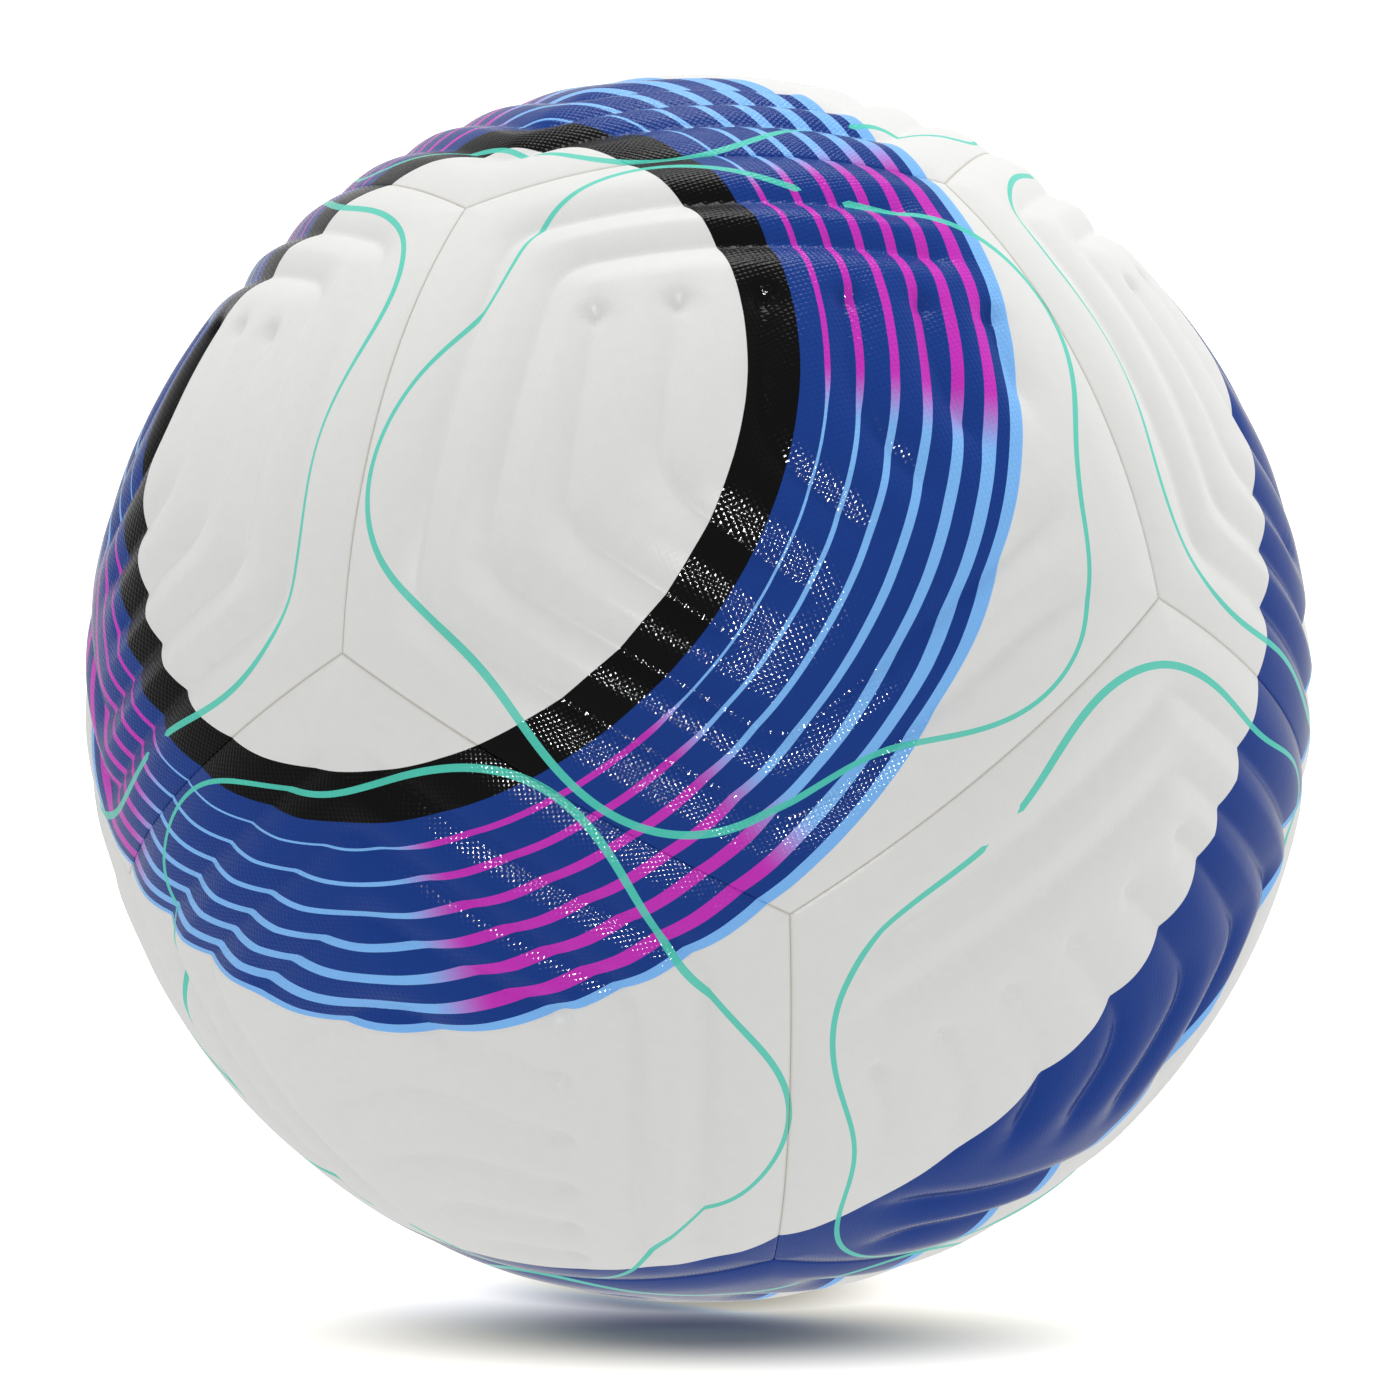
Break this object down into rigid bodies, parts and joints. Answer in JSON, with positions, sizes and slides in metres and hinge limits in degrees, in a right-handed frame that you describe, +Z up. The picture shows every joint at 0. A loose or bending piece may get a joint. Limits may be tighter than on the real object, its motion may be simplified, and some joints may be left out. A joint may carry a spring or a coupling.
{
  "type": "soccer ball",
  "caption": "Inflated soccer ball with embossed pentagonal cover panels bonded over foam, a rubber carcass, a thread winding and a bladder, and a needle valve.",
  "frame": {"origin": "centre of the ball", "axes": "+Z up as the ball lies in the picture, -Y towards the viewer and +X to the viewer's right"},
  "size_m": [0.22, 0.22, 0.22],
  "materials": {
    "cover": "satin embossed synthetic leather with a printed blue, black and magenta pattern",
    "foam": "matte closed-cell foam",
    "seam_bond": "satin white adhesive bead",
    "carcass": "matte moulded rubber",
    "thread_winding": "wound nylon thread set in latex",
    "bladder": "smooth black butyl",
    "valve_housing": "matte moulded rubber",
    "valve_plug": "oiled black rubber",
    "patch_rubber": "matte calendered rubber"
  },
  "bodies": {
    "root": {"cover_panel_1": "cover", "cover_panel_2": "cover", "cover_panel_3": "cover", "cover_panel_4": "cover", "cover_panel_5": "cover", "cover_panel_6": "cover", "cover_panel_7": "cover", "cover_panel_8": "cover", "cover_panel_9": "cover", "cover_panel_10": "cover", "cover_panel_11": "cover", "cover_panel_12": "cover", "foam_backing_1": "foam", "foam_backing_2": "foam", "foam_backing_3": "foam", "foam_backing_4": "foam", "foam_backing_5": "foam", "foam_backing_6": "foam", "foam_backing_7": "foam", "foam_backing_8": "foam", "foam_backing_9": "foam", "foam_backing_10": "foam", "foam_backing_11": "foam", "foam_backing_12": "foam", "seam_bond": "seam_bond", "carcass": "carcass", "thread_winding": "thread_winding", "bladder": "bladder", "valve_housing": "valve_housing", "valve_plug": "valve_plug", "valve_patch": "patch_rubber", "balance_patch": "patch_rubber"}
  },
  "joints": []
}
